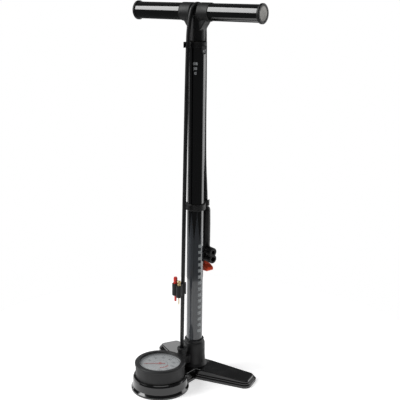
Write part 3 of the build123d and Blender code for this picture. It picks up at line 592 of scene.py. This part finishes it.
def ticks(name, count, length, width, top):
    """Printed ticks round the dial, from its first reading to its last."""
    tick = bmesh.new()
    bmesh.ops.create_cube(tick, size=1.0)
    place = Matrix.Translation((TICK_RIM - length / 2, 0, (INK_LOW + top) / 2))
    size = Matrix.Diagonal((length, width, top - INK_LOW, 1))
    tick.transform(Matrix.Rotation(radians(SCALE_START), 4, "Z") @ place @ size)
    step = -radians(SCALE_SWEEP) / (count - 1)
    mesh = repeated(name, mesh_from(tick, name), DARK_INK, count, turn=step)
    mesh.transform(Matrix.Translation((GAUGE.x, GAUGE.y, 0)))
    make_piece(name, mesh, DARK_INK, "stand", smooth=False)


ticks("dial_ticks", SCALE_TOP // SMALL_STEP + 1, length=3.2 * MM, width=0.4 * MM, top=INK_HIGH)
ticks("dial_long_ticks", SCALE_TOP // BIG_STEP + 1, length=5.5 * MM, width=0.8 * MM, top=LONG_TICK_TOP)

rings = bmesh.new()
for band in (RIM_LINE, INNER_LINE):
    arc_band(rings, *band, dial_angle(0), dial_angle(SCALE_TOP))
make_piece("dial_rings", mesh_from(rings, "dial_rings"), DARK_INK, "stand", smooth=False)

zone = bmesh.new()
for band in (INNER_RED, RIM_RED):
    arc_band(zone, *band, dial_angle(RED_FROM), dial_angle(SCALE_TOP))
make_piece("dial_red_zone", mesh_from(zone, "dial_red_zone"), RED_INK, "stand", smooth=False)

for reading in range(0, SCALE_TOP + 1, BIG_STEP):
    text = bpy.data.curves.new(f"number_{reading}", "FONT")
    text.body = str(reading)
    text.size = NUMBER_SIZE
    text.extrude = NUMBER_HALF_DEPTH
    text.align_x = "CENTER"
    text.align_y = "CENTER"
    label = placed(f"number_{reading}", text)
    mesh = finished_mesh(label)
    bpy.data.objects.remove(label)
    turn = radians(dial_angle(reading))
    mesh.transform(Matrix.Translation((GAUGE.x + NUMBER_REACH * cos(turn), GAUGE.y + NUMBER_REACH * sin(turn),
                                       (INK_LOW + INK_HIGH) / 2)))
    make_piece(f"dial_number_{reading}", mesh, DARK_INK, "stand", smooth=False)

# ------------------------------------------------------------------ stage, light and camera

FLOOR_R = 0.5
FLOOR_GAP = 0.2 * MM     # kept between the feet and the floor
floor = placed("floor", bpy.data.meshes.new("floor"))
disc = bmesh.new()
bmesh.ops.create_circle(disc, cap_ends=True, segments=96, radius=FLOOR_R)
disc.to_mesh(floor.data)
disc.free()
# White, and lit a little from within, so that it stays pale under the soft light
pale, _, _ = new_material("pale_floor", "#f4f4f4", 0.9, Emission_Strength=0.55, Emission_Color=(1, 1, 1, 1))
floor.data.materials.append(pale)
floor.location.z = -FLOOR_GAP


def softbox(name, place, target, width, height, radiance):
    """A rectangular softbox aimed at a point, with its brightness given as radiance."""
    light = bpy.data.lights.new(name, "AREA")
    light.shape = "RECTANGLE"
    light.size = width
    light.size_y = height
    light.energy = radiance * pi * width * height
    lamp = placed(name, light)
    lamp.location = place
    lamp.rotation_euler = (Vector(target) - Vector(place)).to_track_quat("-Z", "Y").to_euler()
    lamp.visible_camera = False


def around(azimuth, distance, height):
    """A place round the pump: azimuth in degrees from +X."""
    return (distance * cos(radians(azimuth)), distance * sin(radians(azimuth)), height)


# The studio: white where the camera sees past the pump, dark in its reflections, and lit panels
world = bpy.data.worlds.new("studio")
world.use_nodes = True
sky = world.node_tree
seen = sky.nodes["Background"]
seen.inputs["Color"].default_value = linear("#ffffff")
seen.inputs["Strength"].default_value = 1.0
surround = add_node(sky, "ShaderNodeBackground", Color=linear("#f2f4f6"), Strength=0.10)
rays = add_node(sky, "ShaderNodeLightPath")
choose = add_node(sky, "ShaderNodeMixShader", _0=rays.outputs["Is Camera Ray"],
                  _1=surround.outputs[0], _2=seen.outputs[0])
sky.links.new(choose.outputs[0], sky.nodes["World Output"].inputs["Surface"])
bpy.context.scene.world = world

softbox("key", around(-122, 2.0, 1.8), (0, 0, 0.65), 1.1, 2.0, 8.0)
softbox("overhead", (0.3, -0.2, 2.6), (0, 0, 0.2), 1.4, 1.4, 1.2)
softbox("sweep", around(134, 2.6, 0.5), (0, 0, 0.5), 3.2, 1.46, 1.1)
softbox("right_strip", around(70, 1.6, 0.1), (0, 0, 0.3), 1.1, 2.0, 2.2)
softbox("left_strip", around(-168, 1.6, 0.15), (0, 0, 0.3), 0.2, 2.0, 1.5)

EYE = Vector((0.94989, -0.96333, 0.68709))
LOOK = Vector((-0.67479, 0.69212, -0.25620))
RIGHT = Vector((0.71390, 0.70016, 0.01118))
UP = Vector((-0.18712, 0.17535, 0.96656))

camera = bpy.data.cameras.new("camera")
camera.sensor_width = 36.0
camera.lens = 71.83
camera.clip_start = 0.01
viewer = placed("camera", camera)
viewer.matrix_world = Matrix((
    (RIGHT.x, UP.x, -LOOK.x, EYE.x),
    (RIGHT.y, UP.y, -LOOK.y, EYE.y),
    (RIGHT.z, UP.z, -LOOK.z, EYE.z),
    (0, 0, 0, 1),
))
bpy.context.scene.camera = viewer
bpy.context.scene.view_settings.view_transform = "Standard"
